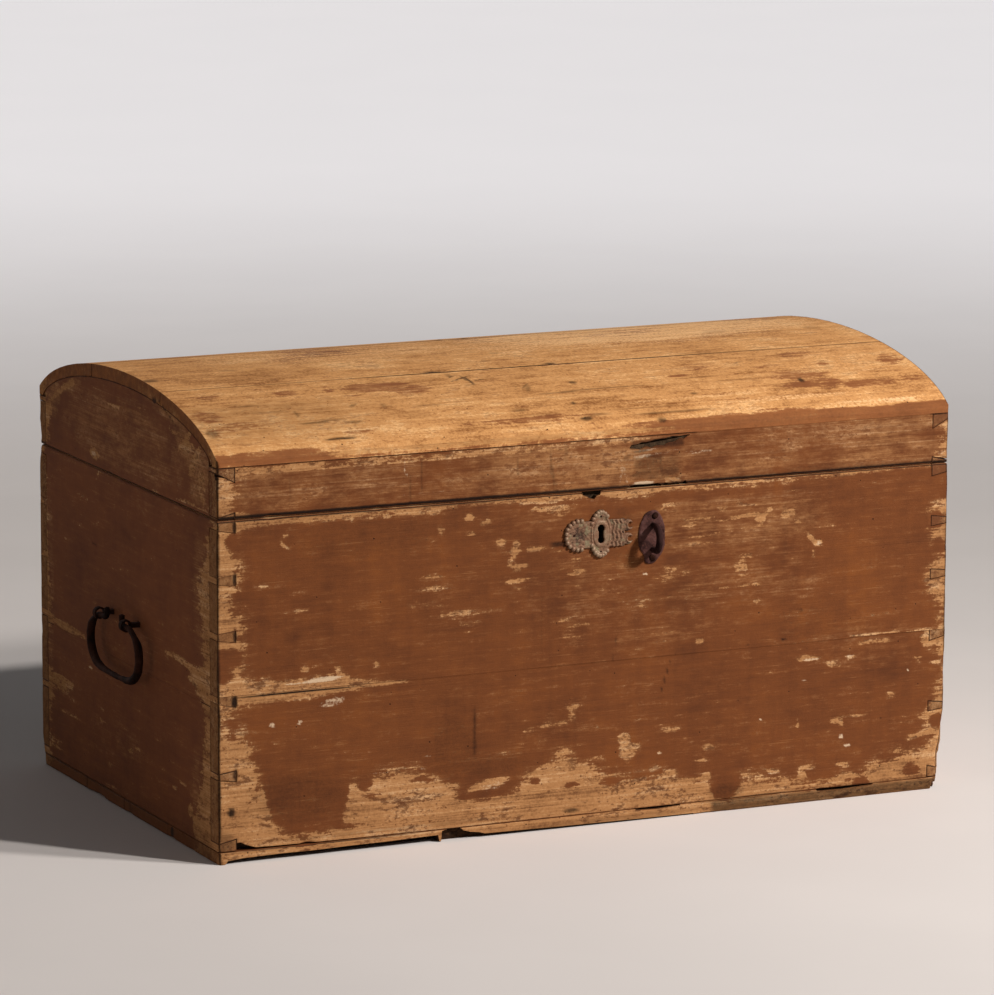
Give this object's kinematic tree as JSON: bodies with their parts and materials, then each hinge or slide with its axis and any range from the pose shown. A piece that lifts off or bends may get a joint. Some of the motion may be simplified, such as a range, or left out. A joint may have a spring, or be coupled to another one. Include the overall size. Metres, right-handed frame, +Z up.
{
  "type": "storage chest",
  "caption": "Dome-topped pine storage chest with dovetailed corners, hinged lid, drop handles, lock with keyhole plate and padlock staple, and an inner till.",
  "frame": {"origin": "middle of the footprint, on the floor under the bottom planks", "axes": "+X along the length to the end that is on the right seen from the front, +Y to the back, +Z up; the front looks along -Y"},
  "size_m": [1.115, 0.6868, 0.5925],
  "materials": {
    "painted_pine": "worn red-brown paint on pine",
    "bare_pine": "bare pine, aged to honey brown, with traces of paint",
    "inner_pine": "unfinished pine",
    "wrought_iron": "dark, slightly rusted forged iron",
    "cast_plate": "dull cast brass with a green-brown patina"
  },
  "bodies": {
    "box": {"front_upper_board": "painted_pine", "front_lower_board": "painted_pine", "back_upper_board": "painted_pine", "back_lower_board": "painted_pine", "left_end_upper_board": "painted_pine", "left_end_lower_board": "painted_pine", "right_end_upper_board": "painted_pine", "right_end_lower_board": "painted_pine", "bottom_plank_1": "bare_pine", "bottom_plank_2": "bare_pine", "bottom_plank_3": "bare_pine", "bottom_plank_4": "bare_pine", "till_front": "inner_pine", "till_floor": "inner_pine", "escutcheon": "cast_plate", "staple_plate": "wrought_iron", "staple_loop": "wrought_iron", "lock_case": "wrought_iron", "left_handle_front_eye": "wrought_iron", "left_handle_rear_eye": "wrought_iron", "right_handle_front_eye": "wrought_iron", "right_handle_rear_eye": "wrought_iron", "left_hinge_box_strap": "wrought_iron", "right_hinge_box_strap": "wrought_iron", "left_hinge_pin": "wrought_iron", "right_hinge_pin": "wrought_iron"},
    "lid": {"lid_front_board": "painted_pine", "lid_back_board": "painted_pine", "lid_left_end": "painted_pine", "lid_right_end": "painted_pine", "lid_front_stave": "bare_pine", "lid_middle_stave": "bare_pine", "lid_rear_stave": "bare_pine", "left_hinge_lid_strap": "wrought_iron", "right_hinge_lid_strap": "wrought_iron", "lid_catch": "wrought_iron"},
    "left_bail": {"left_handle_bail": "wrought_iron"},
    "right_bail": {"right_handle_bail": "wrought_iron"},
    "bolt": {"lock_bolt": "wrought_iron"},
    "till_cover": {"till_lid": "inner_pine", "till_lid_front_pin": "inner_pine", "till_lid_back_pin": "inner_pine"}
  },
  "joints": [
    {"name": "lid_hinge", "type": "hinge", "parent": "box", "child": "lid", "pos_m": [0, 0.3268, 0.4473], "axis": [-1, 0, 0], "range_deg": [0, 105]},
    {"name": "left_bail_swing", "type": "hinge", "parent": "box", "child": "left_bail", "pos_m": [-0.549, -0.008, 0.262], "axis": [0, 1, 0], "range_deg": [-8, 90]},
    {"name": "right_bail_swing", "type": "hinge", "parent": "box", "child": "right_bail", "pos_m": [0.549, -0.008, 0.262], "axis": [0, -1, 0], "range_deg": [-8, 90]},
    {"name": "bolt_slide", "type": "slide", "parent": "box", "child": "bolt", "axis": [1, 0, 0], "range_m": [0, 0.012]},
    {"name": "till_lid_hinge", "type": "hinge", "parent": "box", "child": "till_cover", "pos_m": [-0.496, 0, 0.4053], "axis": [0, -1, 0], "range_deg": [0, 91]}
  ]
}
